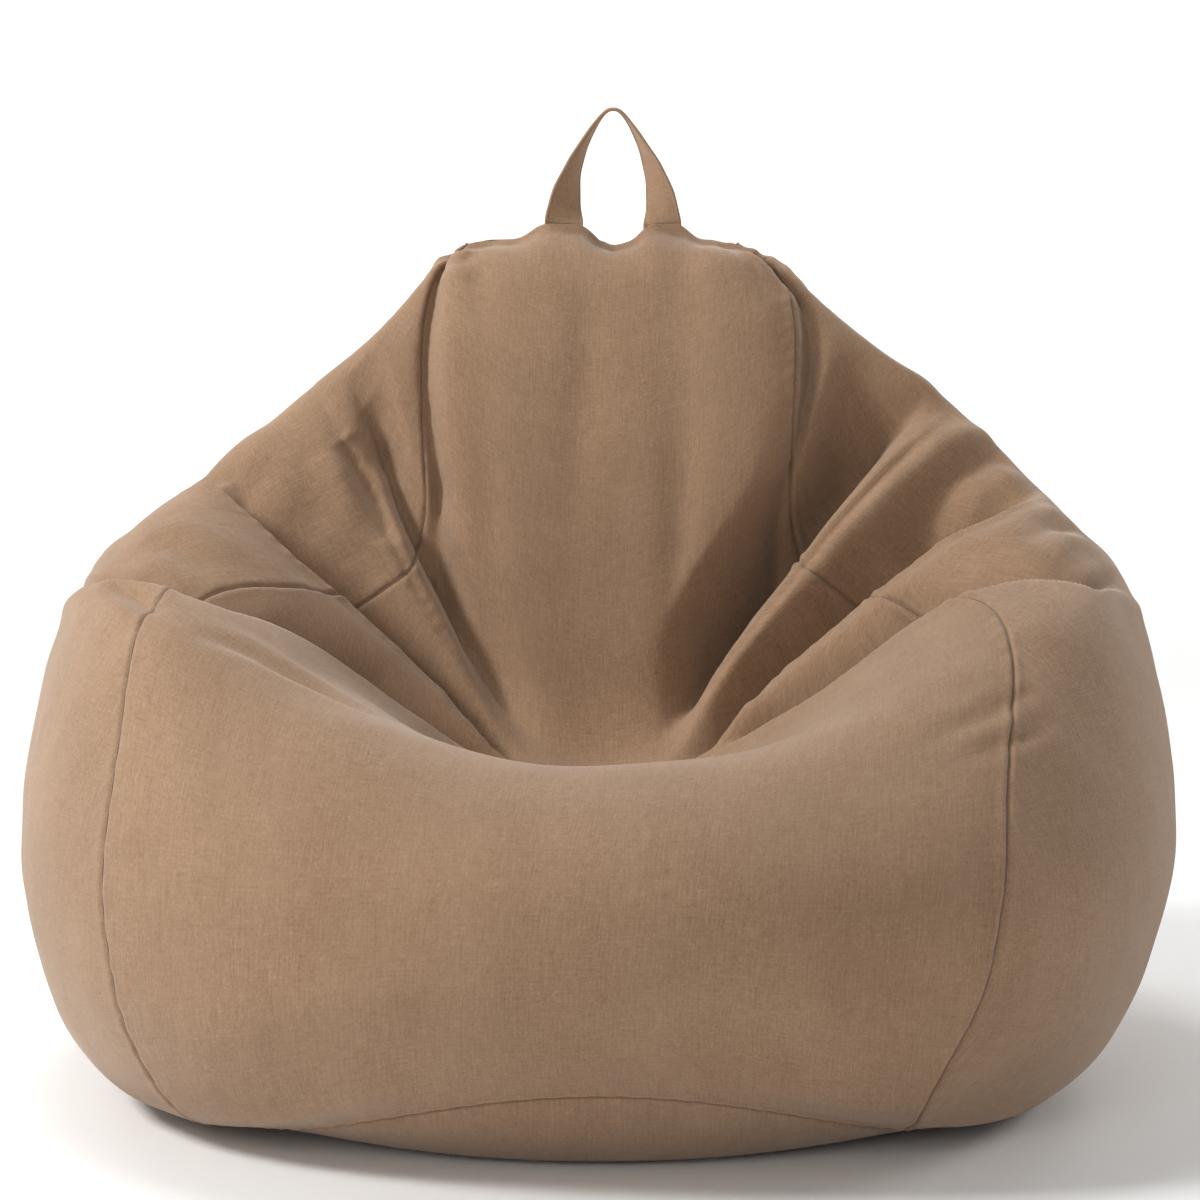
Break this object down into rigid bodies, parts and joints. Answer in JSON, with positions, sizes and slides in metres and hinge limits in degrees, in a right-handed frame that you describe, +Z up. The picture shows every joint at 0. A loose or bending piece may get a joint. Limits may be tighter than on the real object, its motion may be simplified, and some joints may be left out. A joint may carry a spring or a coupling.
{
  "type": "bean bag chair",
  "caption": "High-backed fabric bean bag chair: closed bead bag in a sewn panel cover with a carry loop at the top of the back and a rear zip.",
  "frame": {"origin": "floor point under the middle of the body's bounding box", "axes": "+X towards the right side seen from the front, +Y towards the back, +Z up; the seat faces -Y"},
  "size_m": [0.9995, 0.9608, 0.838],
  "materials": {
    "cover_cloth": "heathered brown linen-look weave, matt",
    "strap": "the cover's cloth folded and topstitched",
    "thread": "brown sewing thread",
    "seam_tape": "brown woven stay tape",
    "liner": "off-white nonwoven",
    "liner_zip": "white tape and coil",
    "beads": "white expanded polystyrene beads",
    "zip_tape": "brown woven zip tape",
    "zip_coil": "brown nylon coil",
    "zip_metal": "dark plated metal"
  },
  "bodies": {
    "cover": {"centre_panel": "cover_cloth", "left_side_panel": "cover_cloth", "right_side_panel": "cover_cloth", "rear_left_panel": "cover_cloth", "rear_right_panel": "cover_cloth", "base_panel": "cover_cloth", "inner_liner": "liner", "liner_zip": "liner_zip", "bead_fill": "beads", "top_seam_tape": "seam_tape", "handle_sewn_ends": "strap", "front_left_thread": "thread", "front_right_thread": "thread", "rear_left_thread": "thread", "rear_right_thread": "thread", "rear_centre_thread": "thread", "base_thread": "thread", "zip_left_tape": "zip_tape", "zip_right_tape": "zip_tape", "zip_left_coil": "zip_coil", "zip_right_coil": "zip_coil", "zip_bottom_stop": "zip_metal", "zip_top_stop": "zip_metal"},
    "handle": {"carry_handle": "strap"},
    "slider": {"zip_slider": "zip_metal"},
    "pull": {"zip_pull": "zip_metal"}
  },
  "joints": [
    {"name": "handle_fold", "type": "hinge", "parent": "cover", "child": "handle", "pos_m": [0.012, 0.21, 0.7322], "axis": [1, 0, 0], "range_deg": [-75, 75]},
    {"name": "zip_travel", "type": "hinge", "parent": "cover", "child": "slider", "pos_m": [0, 0.06, 0.2], "axis": [1, 0, 0], "range_deg": [0, 60.34]},
    {"name": "pull_swing", "type": "hinge", "parent": "slider", "child": "pull", "pos_m": [0, 0.47043, 0.10016], "axis": [1, 0, 0], "range_deg": [-14, 150]}
  ]
}
